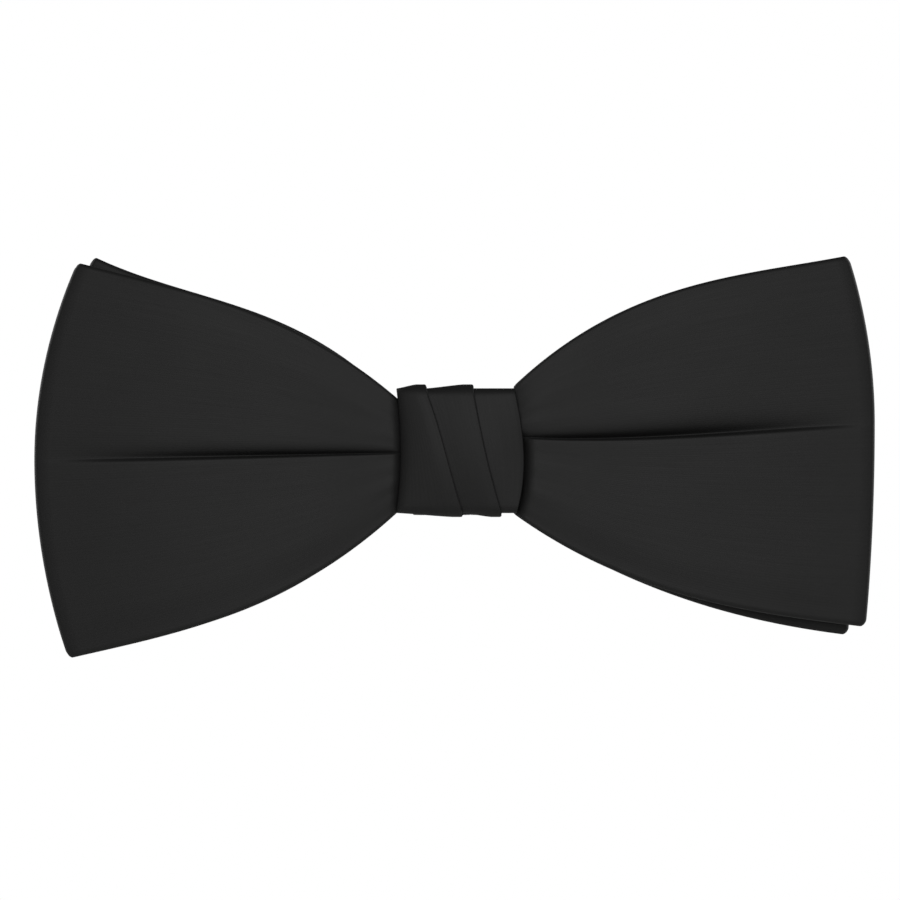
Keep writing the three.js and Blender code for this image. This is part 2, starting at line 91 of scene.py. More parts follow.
# %% Camera
LENS = 200.0
SENSOR = 36.0
MARGIN = 1.058  # the picture is this much wider than the bow
AIM_X, AIM_Z = -1.05, 0.1  # the middle of the picture, just beside the middle of the knot
distance = MARGIN * BOW_WIDTH * LENS / SENSOR
scene = bpy.context.scene
camera = bpy.data.objects.new("camera", bpy.data.cameras.new("camera"))
scene.collection.objects.link(camera)
camera.data.lens = LENS
camera.data.clip_start = 0.01
camera.location = Vector((AIM_X, bow_low[1] - distance, AIM_Z)) * MM
camera.rotation_euler = (math.radians(90), 0, 0)
scene.camera = camera
print("camera", round(distance), "mm in front of the bow")


# %% [markdown]
# ## Lamps and a white room
# Black satin shows its folds only where the light differs from one side of a fold to the other. An
# even white room would light it flat. So the room shows white behind the bow but gives little light,
# two large soft lamps stand in front and above, and one behind on each side lights the clip.

# %% Lamps and world
def soft_lamp(name, place, size, watts):
    """A square lamp, place and size in metres, turned to the middle of the bow."""
    lamp = bpy.data.objects.new(name, bpy.data.lights.new(name, "AREA"))
    lamp.data.size = size
    lamp.data.energy = watts
    lamp.location = place
    lamp.rotation_euler = (-Vector(place)).to_track_quat("-Z", "Y").to_euler()
    scene.collection.objects.link(lamp)


soft_lamp("key_lamp", (-0.15, -1.65, 0.6), 1.3, 16.0)
soft_lamp("fill_lamp", (0.7, -1.5, 0.3), 1.0, 5.5)
soft_lamp("back_left_lamp", (-1.3, 1.1, 0.45), 1.4, 12.0)
soft_lamp("back_right_lamp", (1.3, 1.1, 0.45), 1.4, 12.0)

ROOM_LIGHT = 0.05  # what the white room gives to the bow, far less than it shows behind it
ROOM_SEEN = 1.0
scene.view_settings.view_transform = "Standard"
scene.world = bpy.data.worlds.new("white_room")
scene.world.use_nodes = True
room = scene.world.node_tree
room_light = room.nodes["Background"]
seen = room.nodes.new("ShaderNodeBackground")
for background, strength in ((room_light, ROOM_LIGHT), (seen, ROOM_SEEN)):
    background.inputs["Color"].default_value = (1, 1, 1, 1)
    background.inputs["Strength"].default_value = strength
path = room.nodes.new("ShaderNodeLightPath")
either = room.nodes.new("ShaderNodeMixShader")
room.links.new(path.outputs["Is Camera Ray"], either.inputs[0])
room.links.new(room_light.outputs[0], either.inputs[1])
room.links.new(seen.outputs[0], either.inputs[2])
room.links.new(either.outputs[0], room.nodes["World Output"].inputs["Surface"])
print("lamps", len(bpy.data.lights), "room light", ROOM_LIGHT)


# %% [markdown]
# ## Finishes
# One function turns a colour chosen on screen (sRGB hex) into the linear numbers that shaders use, and
# one adds a node. No finish is one flat colour: each wanders between two close shades, as dye and
# plating do. Patterns are in millimetres: cloth carries its own coordinates, the distance along and
# across the strip as it was cut, so the weave turns and gathers with it.

# %% Helpers for finishes
def linear(hex_colour):
    """An sRGB colour such as "#282828" as linear red, green, blue and alpha."""
    parts = [int(hex_colour[i : i + 2], 16) / 255 for i in (1, 3, 5)]
    return tuple(c / 12.92 if c <= 0.04045 else ((c + 0.055) / 1.055) ** 2.4 for c in parts) + (1.0,)


def add(material, kind, inputs=None, **settings):
    """Adds a node. Each input is a number, a colour or another node's output."""
    made = material.node_tree.nodes.new("ShaderNode" + kind)
    for name, value in settings.items():
        setattr(made, name, value)
    for name, value in (inputs or {}).items():
        if isinstance(value, bpy.types.NodeSocket):
            material.node_tree.links.new(value, made.inputs[name])
        else:
            made.inputs[name].default_value = value
    return made


def new_finish(name):
    material = bpy.data.materials.new(name)
    material.use_nodes = True
    return material, material.node_tree.nodes["Principled BSDF"], material.node_tree.links


def two_shades(material, mask, dark, light):
    """A colour that wanders from dark to light as the mask goes from 0 to 1."""
    shade = add(material, "Mix", {0: mask}, data_type="RGBA")
    shade.inputs[6].default_value = linear(dark)
    shade.inputs[7].default_value = linear(light)
    return shade.outputs[2]


def relief(material, height, strength, distance):
    """A bumped normal from a height. distance is in metres."""
    bump = add(material, "Bump", {"Height": height, "Strength": strength, "Distance": distance})
    return bump.outputs[0]


# %% [markdown]
# ### Black polyester satin
# Satin is woven so that each warp thread floats over several weft threads before it dips under one.
# The floats lie side by side and give a smooth face with a soft sheen along them and fine, slightly
# uneven streaks. This one is a low-lustre polyester, dyed black: nearly all that the eye sees is a
# broad, weak gloss over a near-black dye. It could be painted as one grey, but then folds look like
# card. Here long noise along the warp gives the streaks, and a finer wave gives the floats.
# Real warp threads are 0.1 mm apart, too fine to show, so the floats are drawn 0.4 mm apart.

# %% Satin
FLOAT_SPACING = 0.4
WAVE_TO_TURNS = 0.314  # a wave texture with this scale repeats once in a unit


def satin_finish():
    material, shader, links = new_finish("black_polyester_satin")
    cloth = add(material, "UVMap", uv_map="cloth")
    stretch = (0.08, 1 / FLOAT_SPACING, 1)
    stretched = add(material, "Mapping", {"Vector": cloth.outputs[0], "Scale": stretch})
    streaks = add(material, "TexNoise", {"Vector": stretched.outputs[0], "Scale": 1.0, "Detail": 3.0})
    twill = add(material, "Mapping", {"Vector": cloth.outputs[0], "Scale": (0.35, 1, 1)})
    scale = WAVE_TO_TURNS / FLOAT_SPACING
    wave = {"Vector": twill.outputs[0], "Scale": scale, "Distortion": 1.5, "Detail": 1.0}
    floats = add(material, "TexWave", wave, bands_direction="Y")
    clouds = add(material, "TexNoise", {"Vector": cloth.outputs[0], "Scale": 0.09, "Detail": 2.0})
    dye = two_shades(material, clouds.outputs["Fac"], "#171717", "#1c1c1c")
    links.new(dye, shader.inputs["Base Color"])
    sheen = add(material, "MapRange", {"Value": streaks.outputs["Fac"], "To Min": 0.57, "To Max": 0.68})
    links.new(sheen.outputs[0], shader.inputs["Roughness"])
    height = add(material, "Math", {0: streaks.outputs["Fac"], 1: floats.outputs["Fac"]}, operation="ADD")
    links.new(relief(material, height.outputs[0], 0.12, 0.00004), shader.inputs["Normal"])
    shader.inputs["IOR"].default_value = 1.5
    shader.inputs["Specular IOR Level"].default_value = 0.25
    return material


# %% [markdown]
# ### Stiffening canvas
# Inside each sleeve and round the knot is interlining, a plain open weave of undyed cotton and
# viscose. Over and under threads about 0.5 mm apart make a small matt check. It could be modelled
# thread by thread, but it shows only where a sleeve is opened, so two crossed waves give the check.

# %% Canvas
def canvas_finish():
    material, shader, links = new_finish("undyed_cotton_canvas")
    cloth = add(material, "UVMap", uv_map="cloth")
    wave = {"Vector": cloth.outputs[0], "Scale": 0.6, "Distortion": 0.6}
    over, under = [add(material, "TexWave", wave, bands_direction=way).outputs["Fac"] for way in "XY"]
    check = add(material, "Math", {0: over, 1: under}, operation="MULTIPLY").outputs[0]
    yarn = two_shades(material, check, "#b3ab99", "#d8d1c1")
    links.new(yarn, shader.inputs["Base Color"])
    links.new(relief(material, check, 0.5, 0.0001), shader.inputs["Normal"])
    shader.inputs["Roughness"].default_value = 0.95
    return material


# %% [markdown]
# ### Spun polyester thread
# Sewing thread is three plies twisted together. The twist is in the shape, so the finish only has the
# short fibres that break up its gloss. Hairs could be grown on it, but on a thread half a millimetre
# thick a fine noise in the colour does the same.

# %% Thread
def thread_finish():
    material, shader, links = new_finish("spun_polyester_thread")
    place = add(material, "TexCoord")
    fibres = add(material, "TexNoise", {"Vector": place.outputs["Object"], "Scale": 6000.0, "Detail": 2.0})
    dye = two_shades(material, fibres.outputs["Fac"], "#121212", "#2c2c2c")
    links.new(dye, shader.inputs["Base Color"])
    shader.inputs["Roughness"].default_value = 0.7
    return material


# %% [markdown]
# ### Nickel-plated steel
# The clip is stamped from cold-rolled strip and barrel plated in nickel: a warm grey metal, bright
# but not a mirror, because the rolling lines show through the plate and tumbling blurs them. The
# lines could be painted, but noise stretched along the strip gives them at any size. The springs and
# pins are drawn steel, greyer, with fine marks that run no one way round a coil.

# %% Nickel plate and spring steel
def metal_finish(name, dark, light, stretch, smoothest, roughest):
    """A plated or drawn metal: fine lines stretched along the way it was rolled or drawn."""
    material, shader, links = new_finish(name)
    place = add(material, "TexCoord")
    along = add(material, "Mapping", {"Vector": place.outputs["Object"], "Scale": stretch})
    lines = add(material, "TexNoise", {"Vector": along.outputs[0], "Scale": 1.0, "Detail": 4.0})
    tumble = add(material, "TexNoise", {"Vector": place.outputs["Object"], "Scale": 700.0, "Detail": 2.0})
    metal = two_shades(material, tumble.outputs["Fac"], dark, light)
    links.new(metal, shader.inputs["Base Color"])
    across = {"Value": lines.outputs["Fac"], "To Min": smoothest, "To Max": roughest}
    rough = add(material, "MapRange", across)
    links.new(rough.outputs[0], shader.inputs["Roughness"])
    links.new(relief(material, lines.outputs["Fac"], 0.2, 0.00002), shader.inputs["Normal"])
    shader.inputs["Metallic"].default_value = 1.0
    return material


ROLLED = (300, 12000, 12000)  # lines run along the strip, 12 to the millimetre
DRAWN = (4000, 4000, 4000)
FINISH = {
    "satin": satin_finish(),
    "interlining": canvas_finish(),
    "thread": thread_finish(),
    "nickel_plate": metal_finish("nickel_plated_steel", "#b4b0a6", "#cfccc4", ROLLED, 0.2, 0.36),
    "spring_steel": metal_finish("drawn_spring_steel", "#85878a", "#a6a8aa", DRAWN, 0.25, 0.4),
}
print("finishes", sorted(FINISH))


# %% [markdown]
# ## How soft pieces are skinned
# A sleeve, a band and a thread are all a run of rings. Skinning rings is exact, keeps every piece one
# closed body, and gives each point its place in the cut cloth, which sculpting or remeshing would lose.

# %% Small helpers for shapes
def mix(a, b, t):
    return a + (b - a) * t


def smooth(t):
    t = np.clip(t, 0, 1)
    return t * t * (3 - 2 * t)


def curve4(heights, t):
    """A curve from the first height to the last, steered by the two between, as a pattern cutter draws."""
    a, b, c, d = heights
    s = 1 - t
    return a * s**3 + 3 * b * t * s**2 + 3 * c * t**2 * s + d * t**3


def quads(index, wrap_rows):
    """Faces over a grid of vertex numbers whose columns wrap round."""
    below = index if wrap_rows else index[:-1]
    above = np.roll(index, -1, 0) if wrap_rows else index[1:]
    faces = [below, np.roll(below, -1, 1), np.roll(above, -1, 1), above]
    return np.stack(faces, -1).reshape(-1, 4)


def grid_places(along, across, wrap_rows):
    """Where each corner of those faces lies on the cut cloth."""
    rows = along if wrap_rows else along[:-1]
    next_rows = np.append(along[1:], 2 * along[-1] - along[-2]) if wrap_rows else along[1:]
    near, far = across[:-1], across[1:]
    corners = [(rows, near), (rows, far), (next_rows, far), (next_rows, near)]
    pairs = [np.stack(np.broadcast_arrays(a[:, None], b[None, :]), -1) for a, b in corners]
    return np.stack(pairs, 2).reshape(-1, 4, 2)


def skin(name, rings, along, across, loop=False, cavity=None):
    """One closed body over rings of points. across has one more number than a ring has points."""
    count, size = rings.shape[:2]
    outer = np.arange(count * size).reshape(count, size)
    points = rings.reshape(-1, 3)
    faces = quads(outer, loop).tolist()
    places = grid_places(along, across, loop).tolist()
    if cavity is not None:
        inner = outer + count * size
        points = np.concatenate([points, cavity.reshape(-1, 3)])
        faces += quads(inner, loop)[:, ::-1].tolist()
        places += grid_places(along, across, loop)[:, ::-1].tolist()
        for row, turn in ((0, -1), (-1, 1)):
            rim = quads(np.stack([outer[row], inner[row]]), False)[:, ::turn]
            faces += rim.tolist()
            places += grid_places(along[:2], across, False)[:, ::turn].tolist()
    elif not loop:
        for row, turn in ((0, -1), (-1, 1)):
            faces.append(outer[row][::turn].tolist())
            places.append([[along[row], a] for a in across[:-1]][::turn])
    mesh = bpy.data.meshes.new(name)
    mesh.from_pydata((points * MM).tolist(), [], faces)
    flat = np.array([corner for face in places for corner in face], dtype=np.float32)
    mesh.uv_layers.new(name="cloth").uv.foreach_set("vector", flat.ravel())
    work = bmesh.new()
    work.from_mesh(mesh)
    bmesh.ops.recalc_face_normals(work, faces=work.faces)
    work.to_mesh(mesh)
    work.free()
    mesh.shade_smooth()
    piece = bpy.data.objects.new(name, mesh)
    scene.collection.objects.link(piece)
    return piece


def place_piece(piece, slot, *nodes, body="bow"):
    """Gives a finished piece its finish, its body and the plain solids that it stands for."""
    piece.data.materials.append(FINISH[slot])
    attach(piece, body)
    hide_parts(*nodes)
    print(piece.name, len(piece.data.vertices), "points")


# %% [markdown]
# ## The two tiers
# Each tier is a sleeve: a strip of satin sewn into a flat tube, with a stiffener inside, bent into a
# ring whose ends meet behind the middle. Pinching the waist does the rest. The wings fan out, and
# since the cloth can't shrink, each wing buckles into two lobes with a crease between them.
# A cloth simulation makes such folds, but not in chosen places, and this bow was dressed by hand:
# two wings a little different, two creases at their own heights. So the shape is written as the few
# curves that a hand controls, and the cloth follows them: the four edges, the crease, and the swell.

# %% Cloth thicknesses and places through the waist
SATIN = 0.3
SLEEVE = 1.3  # a lined sleeve through its middle
PRESSED = 1.2  # and at its edges
STIFFENER = 0.4
STIFFENER_EDGE = 0.15  # its thickness at its edges
LINING_SPACE = 0.3  # the stiffener ends this far inside the sleeve's inner edge
WAIST_HALF = 6.9  # half the height of the gathered cloth inside the knot
REAR_BACK = 4.55  # depth of the rearmost panel's middle, from the back of the knot
FRONT_MOST = 13.0  # and of the foremost one's
PANEL_PITCH = 2.0  # between the middles of a tier's two panels, at the waist
TIER_PITCH = 3.6  # between the tiers at the waist, where their threads lie
TIER_PITCH_OUT = 2.4  # and out on the wings
FOLD_SPACE = 0.3  # between a tier's two panels beside the fold at a tip
PRESSED_TIP = 0.45  # the folds at the tips are pressed to this share of a round one
FRONT_PUFF = 1.3  # how far a loop's two panels part at mid wing
REAR_PUFF = 1.0

# %% How each wing was dressed
# heights and depths are at the knot, steered a third and two thirds out, and at the corner
WINGS = {
    -1: {
        "reach": -bow_low[0],
        "crease": (-0.3, -0.6, -1.0, -1.3),
        "fold": (0.5, 3.0, 0.7, 0.0),
        "above": (0.5, 0.4, 0.6, 1.2),  # how far each lobe takes to slope down to the crease
        "below": (0.08, 0.08, 0.08, 0.08),
        "roll": (1.1, 1.1),  # how far the lower and the upper lobe take to roll out from the knot
        "start": (0.55, 0.6),  # and how full each is already under its edge
        "burst": 0.0,  # 1 where the cloth springs out at once from under the edge, 0 where it eases out
    },
    1: {
        "reach": bow_high[0],
        "crease": (2.0, 1.0, 3.2, 3.9),
        "fold": (0.3, 3.9, 1.2, 0.0),
        "above": (0.4, 0.6, 1.2, 1.6),
        "below": (0.08, 0.08, 0.08, 0.08),
        "roll": (1.6, 3.0),
        "start": (0.0, 0.85),
        "burst": 1.0,
    },
}
TIERS = {
    "front": {
        "shorter": 0.0,
        "upper": {-1: (6.9, 20.4, 22.7, 26.8), 1: (9.1, 24.2, 24.7, 27.8)},
        "lower": {-1: (8.2, 23.0, 25.9, 29.6), 1: (8.9, 20.9, 23.0, 25.1)},
        "back": {-1: (5.8, 4.6), 1: (3.55, 1.2)},  # how far the upper and lower corner draw in
    },
    "rear": {
        "shorter": TIER_STEP,
        "upper": {-1: (6.0, 21.8, 20.8, 27.8), 1: (8.6, 23.4, 24.0, 27.2)},
        "lower": {-1: (7.6, 22.8, 25.6, 28.8), 1: (8.8, 19.8, 24.4, 26.4)},
        "back": {-1: (5.2, 4.6), 1: (3.55, 0.8)},
    },
}
LOBE = 2.2  # how far the two lobes of a wing swell forwards beside the knot
LOBE_AT_TIP = 0.3  # the share of that swell which is left at the tip,
LOBE_AT_BACK = 0.3  # on the rearmost panel, where the crease is as much shallower,
LOBE_AT_EDGE = 0.8  # and along the upper and lower edges,
EDGE_REACH = 5.0  # which droop over this width
FOLD_ROUND = (0.02, 0.02, 0.4, 0.8)  # how round the bottom of the crease is, from knot to tip
# how far out the knot's edges lie, from its top to its bottom
KNOT_EDGES = {-1: (8.8, 7.8, 7.8, 8.8), 1: (7.9, 9.4, 10.3, 8.2)}
UNDER = 0.15  # the cloth starts to roll this far inside the knot's edge
MOUTH_HALF = 8.1  # half the height of a wing where it leaves the knot
PINCH = 0.5  # and it springs open over this length
CORNER = 0.55  # the wing's corners are rounded off by this much
CORNER_REACH = 1.1  # over this height
GATHER = 0.06  # depth of the small gathers beside the knot
GATHER_WAVES = 7  # from edge to edge
GATHER_REACH = 6.0
UNDER_REACH = 1.2  # under the knot a lobe takes this long to swell to its start


# %% [markdown]
# ### From a flat strip to a dressed wing
# A point of the strip has a place along it and a place v across it: -1 at the lower edge, 0 in the
# crease and 1 at the upper edge. One function takes it to where a hand would lay it. The wing could be
# sculpted, but then the stiffener and the inner wall would have to be sculpted to match. Here they
# pass through the same function and bend with the satin, though the stiffener still cuts into it in
# a few places, where the cloth bends most.

# %% From strip to bow
def out_share(out, reach):
    return np.clip((out - WING_START) / (reach - WING_START), 0, 1)


def edge_height(heights, out, u):
    """Height of the upper or the lower edge: gathered in the knot, then springing open beside it."""
    natural = curve4(heights, u)
    held = np.minimum(natural, MOUTH_HALF)
    opened = mix(held, natural, smooth((out - WING_START + PINCH / 2) / PINCH))
    return np.where(out < WING_START, mix(WAIST_HALF, held, smooth(out / WING_START)), opened)


def dress(side, tier, out, depth, v, proud=0.0):
    """Where a point of the strip goes: out from the middle, its depth, and v from edge to edge."""
    wing = WINGS[side]
    u = out_share(out, wing["reach"] - tier["shorter"])
    upper = edge_height(tier["upper"][side], out, u)
    lower = edge_height(tier["lower"][side], out, u)
    crease = curve4(wing["crease"], u) * smooth(out / WING_START)
    span = np.where(v > 0, upper - crease, lower + crease)
    z = crease + v * (span - PRESSED / 2) + proud
    back = np.where(v > 0, *tier["back"][side])
    corner = CORNER * u * np.clip(1 + (np.abs(z - crease) - span) / CORNER_REACH, 0, 1) ** 2
    x = side * (out - back * v * v * u - corner)
    q = np.abs(v)
    width = np.where(v > 0, curve4(wing["above"], u), curve4(wing["below"], u))
    bend = curve4(FOLD_ROUND, u)
    fold = curve4(wing["fold"], u) * np.exp((bend - np.hypot(q * span, bend)) / width)
    edge = smooth(1 + (q * span - span) / EDGE_REACH)
    swell = LOBE * mix(1, LOBE_AT_TIP, u) * mix(1, LOBE_AT_EDGE, edge)
    knot_edge = curve4(KNOT_EDGES[side], np.clip((1 - z / KNOT_HALF) / 2, 0, 1)) - UNDER
    above = smooth(4 * v + 0.5)  # 0 on the lower lobe, 1 on the upper
    past = np.maximum(out - knot_edge, 0)
    rolled = np.clip(past / mix(*wing["roll"], above), 0, 1)
    full = mix(smooth(rolled), 1 - (1 - rolled) ** 2, wing["burst"])
    under = mix(*wing["start"], above) * smooth(1 + (out - knot_edge) / UNDER_REACH)
    roll = mix(under, 1, full)
    waves = np.cos(GATHER_WAVES * np.pi * v + side) * (1 - q**4)
    gather = GATHER * np.exp(-past / GATHER_REACH) * waves
    layer = mix(LOBE_AT_BACK, 1, np.clip((depth - REAR_BACK) / (FRONT_MOST - REAR_BACK), 0, 1))
    y = -(depth + roll * (layer * (swell - fold) + gather))
    return np.stack(np.broadcast_arrays(x, y, z), -1)


# %% [markdown]
# ### The ring of a tier
# Seen from above, a tier is a flat ring: a back panel, a pressed fold at each tip, and a front panel.
# A surface could be thickened with a modifier, but its inner wall would cross itself in the folds. So
# every ring has its own outward direction, and the folds turn in small steps.

# %% The middle line of a tier
STATIONS = 45  # rings along a wing
CROWDED = 1.5  # closer together near the knot, where the shape changes most
SEAM_HALF = 0.15  # half the gap between the last rings of the two wings


def panel_depths(u):
    """Depths of the four panels' middles, from back to front, u of the way out on a wing."""
    pitch = mix(PANEL_PITCH, SLEEVE + FOLD_SPACE, u)
    gaps = [
        REAR_BACK + 0 * u,
        pitch + REAR_PUFF * np.sin(np.pi * u),
        mix(TIER_PITCH, TIER_PITCH_OUT, smooth(4 * u)),
        pitch + FRONT_PUFF * np.sin(np.pi * u),
    ]
    return np.cumsum(gaps, axis=0)


def half_line(side, name):
    """Stations of one wing: out, depth and the outward direction, from the back round the fold."""
    reach = WINGS[side]["reach"]
    first = 0 if name == "rear" else 2
    end = reach - TIERS[name]["shorter"] - PRESSED_TIP * SLEEVE / 2
    back, front = panel_depths(out_share(end, reach))[first : first + 2]
    fold = (front - back) / 2
    root = end - PRESSED_TIP * fold
    opening = WING_START + (root - WING_START) * np.linspace(0, 1, STATIONS) ** CROWDED
    out = np.concatenate([np.linspace(SEAM_HALF, WING_START, 6)[:-1], opening])
    depths = panel_depths(out_share(out, reach))
    turn = np.linspace(-np.pi / 2, np.pi / 2, 15)[1:-1]
    ahead = PRESSED_TIP * np.cos(turn)
    rows = [
        np.stack([out, depths[first], 0 * out, 0 * out - 1], 1),
        np.stack([root + fold * ahead, back + fold * (1 + np.sin(turn)), ahead, np.sin(turn)], 1),
        np.stack([out, depths[first + 1], 0 * out, 0 * out + 1], 1)[::-1],
    ]
    return np.concatenate(rows)


# %% [markdown]
# ### The section of a sleeve
# Cut across, a pressed sleeve is a flat tube, a little thinner at its rounded edges. A ribbon would do
# from the front, but from above the edges are what is seen. The points lie closer together at the
# crease and the edges, where the cloth bends most.

# %% A ring round the sleeve
COLUMNS = 73  # points from edge to edge
AT_FOLDS = 0.8  # how much closer together they are at the crease and the edges, below 1
THINNING = 4.0  # the sleeve thins over this width to its pressed edges
CUT_HALF = 28.0  # half the width of the flat sleeve at its folds
EDGE_STEP = 0.3  # between the points that turn round its edges


def section(thickness, inset, corner):
    """Points round a flattened tube: v, offset through the thickness, and how far past the edge."""
    s = np.linspace(-1, 1, COLUMNS)
    v = s - AT_FOLDS * np.sin(2 * np.pi * s) / (2 * np.pi)
    half = mix(corner, thickness, smooth((1 - np.abs(v)) * CUT_HALF / THINNING)) / 2
    a = np.linspace(0, np.pi, 7)[1:-1]
    vs = np.concatenate([v, 0 * a + 1, v[::-1], 0 * a - 1])
    turn = corner / 2 * np.cos(a)
    offset = np.concatenate([half, turn, -half[::-1], -turn])
    past_edge = corner / 2 * np.sin(a) - inset
    proud = np.concatenate([-v * inset, past_edge, -v[::-1] * inset, -past_edge])
    return vs, offset, proud


def tier_rings(name, thickness, inset, corner):
    """Every ring of a tier, and its points' places along and across the cut strip."""
    vs, offset, proud = section(thickness, inset, corner)
    runs = []
    for side in (1, -1):
        out, depth, nr, nd = (half_line(side, name)[:, i : i + 1] for i in range(4))
        run = dress(side, TIERS[name], out + offset * nr, depth + offset * nd, vs + 0 * out, proud)
        runs.append(run if side > 0 else run[::-1])
    rings = np.concatenate(runs)
    middle = rings[:, :COLUMNS].mean(1)
    along = np.concatenate([[0], np.cumsum(np.linalg.norm(np.diff(middle, axis=0), axis=1))])
    face = 2 * CUT_HALF
    edge = 6 * EDGE_STEP
    across = np.append((vs[:COLUMNS] + 1) * CUT_HALF, face + np.arange(1, 6) * EDGE_STEP)
    across = np.concatenate([across, across + face + edge, [2 * (face + edge)]])
    return rings, along, across


# %% Sew both tiers
for name in TIERS:
    outer, along, across = tier_rings(name, SLEEVE, 0, PRESSED)
    inner = tier_rings(name, SLEEVE - 2 * SATIN, SATIN, PRESSED - 2 * SATIN)[0]
    sleeve = skin(name + "_bow_sleeve", outer, along, across, cavity=inner)
    place_piece(sleeve, "satin", name + "_bow_satin")
    core_rings = tier_rings(name, STIFFENER, SATIN + LINING_SPACE, STIFFENER_EDGE)
    core = skin(name + "_bow_stiffener", *core_rings)
    place_piece(core, "interlining", name + "_bow_interlining")


# %% [markdown]
# ## The knot
# The knot is a strip of the same satin, folded double and wrapped round the waist. On the way it is
# laid in two slanting knife pleats: the cloth doubles back under itself, so each pleat is three layers
# thick with a rounded fold on its right, and a fine dark line where that fold drops to the next panel.
# A groove drawn on a smooth band would do from far off. Folding the real path keeps the edge crisp
# and shadowed from every side.

# %% The path of the band round the waist
BAND = 0.26  # the double cloth of the band
LAYER_GAP = 0.02
PLEAT_RISE = 2 * (BAND + LAYER_GAP)
BAND_BACK = 0.9  # depth of the inside of the band at the back
BAND_HALF = 8.6  # half its inside height
WRAP_FRONT = 14.8  # depth of the inside of the band at the front
KNOT_CORNER = 0.9  # radius of its corners, seen from the side
MID_DEPTH = 7.4  # from here forwards the knot takes its crown and its curled edge
CROWN = 1.4  # how far its front swells
CROWN_HALF_WIDTH = KNOT_HALF_WIDTH + 0.5
EDGE_CURL = 0.5  # the left edge of the band curls down towards the wing
UNDERLAP = 1.2  # how far a pleat folds back under itself
NEXT_SHOWS = 0.2  # the next panel shows this far past a fold
EASE = 0.3  # how much a panel's climb over the pleat's layers eases in and out
# where each fold crosses the knot, from its top to its bottom edge
PLEATS = [(-4.9, -2.3, -1.3, 0.9), (2.0, 3.1, 4.4, 6.4)]


def band_loop(back, front, half, radius, arc, side):
    """A rounded rectangle seen from the side: depth, height and outward direction."""
    rows = []
    for quarter, depth, z in (
        (0, front - radius, half - radius),
        (1, back + radius, half - radius),
        (2, back + radius, radius - half),
        (3, front - radius, radius - half),
    ):
        a = np.pi / 2 * (quarter + np.linspace(0, 1, arc + 1))
        rows.append(np.stack([depth + radius * np.cos(a), z + radius * np.sin(a), np.cos(a), np.sin(a)], 1))
        run = np.linspace(0, 1, side + 1)[1:-1]
        if quarter in (1, 3):
            sign = 2 - quarter
            reach = (half - radius) * (1 - 2 * run) * sign
            level = back if quarter == 1 else front
            rows.append(np.stack([level + 0 * run, reach, 0 * run - sign, 0 * run], 1))
        else:
            sign = 1 - quarter
            span = mix(front - radius, back + radius, run if quarter == 0 else 1 - run)
            rows.append(np.stack([span, sign * half + 0 * run, 0 * run, 0 * run + sign], 1))
    return np.concatenate(rows)


def crown(x, z, depth):
    """How far the front of the knot swells over its pad."""
    swell = (1 - (x / CROWN_HALF_WIDTH) ** 2) * (1 - np.clip(np.abs(z) / KNOT_HALF, 0, 1) ** 2)
    return CROWN * swell * smooth((depth - MID_DEPTH) / (WRAP_FRONT - MID_DEPTH))


# %% [markdown]
# ### Two knife pleats
# Across the knot the cloth lies low, climbs over the layers of a pleat, turns back under itself at the
# fold, and runs on to the next. Each pleat could be a loose flap laid on a plain band, but its seam
# would show from above. Here one path is followed all round, and its folds lie further over on each
# ring, so the pleats slant.

# %% The pleats across the band
def pleat_path(t):
    """The middle of the band's cloth across the knot, t of the way down: x and height over the pad."""
    low = BAND / 2
    high = low + PLEAT_RISE
    turn = PLEAT_RISE / 4
    a = np.linspace(0, np.pi, 8)[1:-1]
    start = shown = BAND / 2 - curve4(KNOT_EDGES[-1], t)
    xs, levels = [], []
    for heights in PLEATS:
        fold = curve4(heights, t) - BAND / 2
        lift = fold - UNDERLAP
        hidden = np.linspace(start, shown, 4 if shown > start else 1)[:-1]
        ramp = np.linspace(shown, lift, 12)
        top = np.linspace(lift, fold, 6)[1:]
        xs += [hidden, ramp, top, fold + turn * np.sin(a), np.linspace(fold, lift, 5)]
        climb = (ramp - shown) / (lift - shown)
        levels += [0 * hidden + low, mix(low, high, mix(climb, smooth(climb), EASE)), 0 * top + high]
        levels += [high - turn * (1 - np.cos(a)), np.full(5, high - 2 * turn)]
        xs.append(lift - turn * np.sin(a))
        levels.append(high - 2 * turn - turn * (1 - np.cos(a)))
        start = lift
        shown = fold + BAND / 2 + NEXT_SHOWS
    last = np.linspace(start, curve4(KNOT_EDGES[1], t) - BAND / 2, 14)
    xs.append(last)
    levels.append(0 * last + low)
    return np.concatenate(xs), np.concatenate(levels)


def band_section(t):
    """A ring round the band's cloth: the path, offset to both sides and closed round its edges."""
    x, level = pleat_path(t)
    along = np.stack([np.gradient(x), np.gradient(level)], 1)
    along /= np.linalg.norm(along, axis=1, keepdims=True)
    normal = np.stack([-along[:, 1], along[:, 0]], 1) * BAND / 2
    path = np.stack([x, level], 1)
    a = np.linspace(0, np.pi, 6)[1:-1, None]
    right = path[-1] + BAND / 2 * np.concatenate([np.sin(a), np.cos(a)], 1)
    left = path[0] + BAND / 2 * np.concatenate([-np.sin(a), -np.cos(a)], 1)
    return np.concatenate([path + normal, right, (path - normal)[::-1], left])


